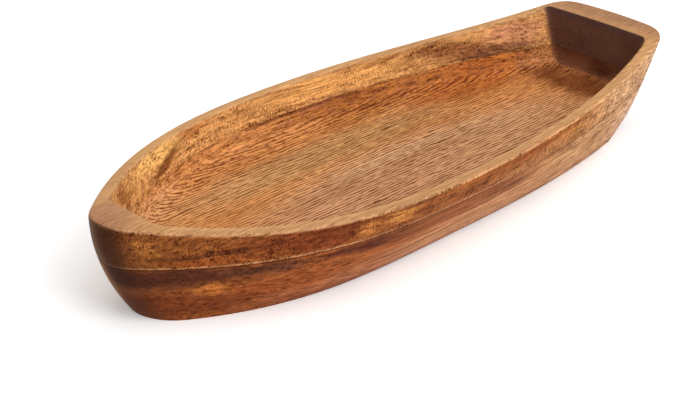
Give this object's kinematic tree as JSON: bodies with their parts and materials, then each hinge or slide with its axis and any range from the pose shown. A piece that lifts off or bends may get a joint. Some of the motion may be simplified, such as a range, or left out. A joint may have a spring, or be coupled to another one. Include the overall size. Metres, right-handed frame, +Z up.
{
  "type": "wooden snack boat tray",
  "caption": "Low boat-shaped serving tray of oiled brown wood, with a narrow bow, a wide stern, a flat foot and a smooth hollow for snacks",
  "frame": {"origin": "on the surface that the tray stands on, under the middle of its bounding box", "axes": "+X along the length from the narrow bow to the wide stern, +Y across the beam to port, +Z up"},
  "size_m": [0.3226, 0.127, 0.047],
  "materials": {
    "bottom_wood": "oiled satin",
    "rim_wood": "oiled satin"
  },
  "bodies": {
    "root": {"bottom_board": "bottom_wood", "rim_board": "rim_wood"}
  },
  "joints": []
}
